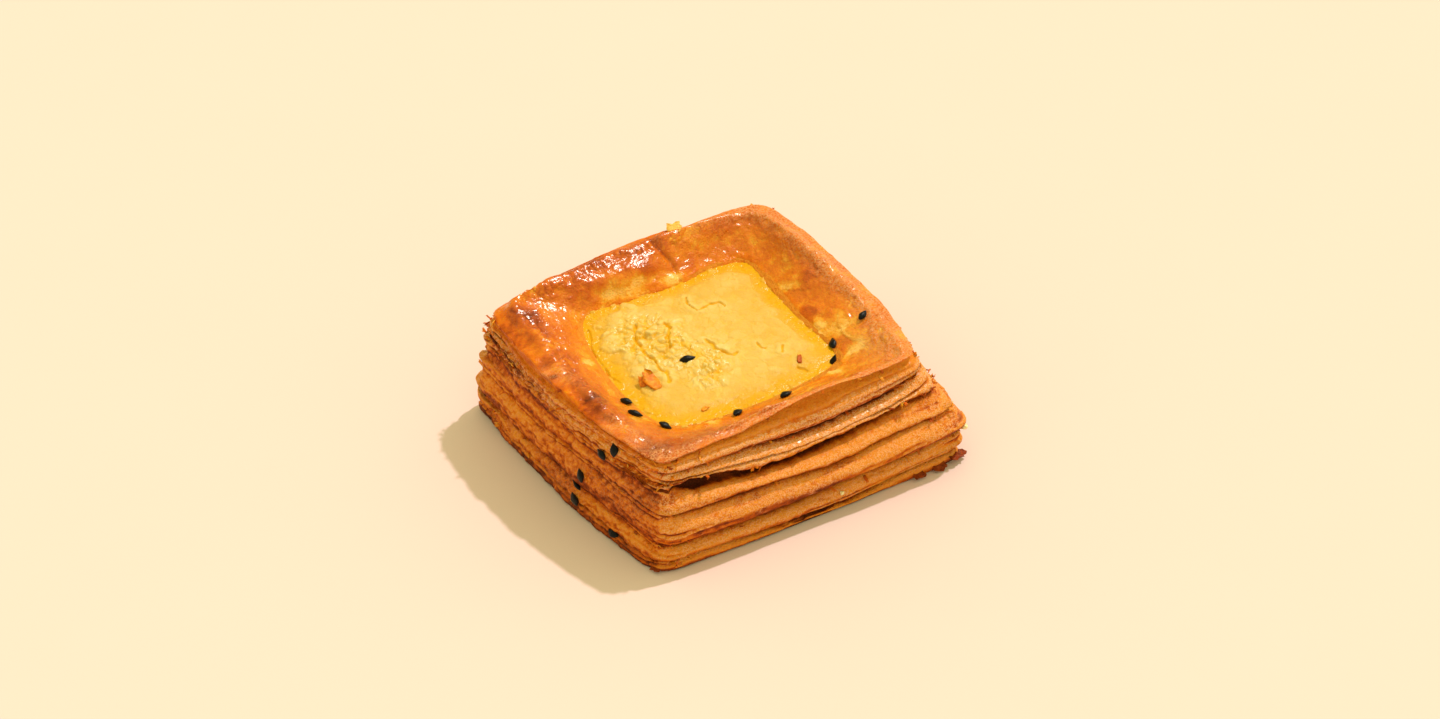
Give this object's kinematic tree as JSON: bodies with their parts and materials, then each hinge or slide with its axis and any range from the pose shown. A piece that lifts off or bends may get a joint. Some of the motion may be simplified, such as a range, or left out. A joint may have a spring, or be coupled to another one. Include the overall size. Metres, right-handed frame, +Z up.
{
  "type": "danish pastry",
  "caption": "Square layered pastry with a puffed frame round a shallow well of baked filling, sprinkled with black seeds.",
  "frame": {"origin": "middle of the flat underside, on the surface the pastry rests on", "axes": "+Z up; +X along the longer side of the pastry and +Y along the shorter side, with the layered front side facing -Y"},
  "size_m": [0.105, 0.0962, 0.0391],
  "materials": {
    "crust": "baked golden brown, layered sides, egg-washed top with a soft shine",
    "filling": "baked pale yellow cream filling with fine cracks and a glossy deeper yellow edge"
  },
  "bodies": {
    "root": {"pastry": "crust", "filling": "filling"}
  },
  "joints": []
}
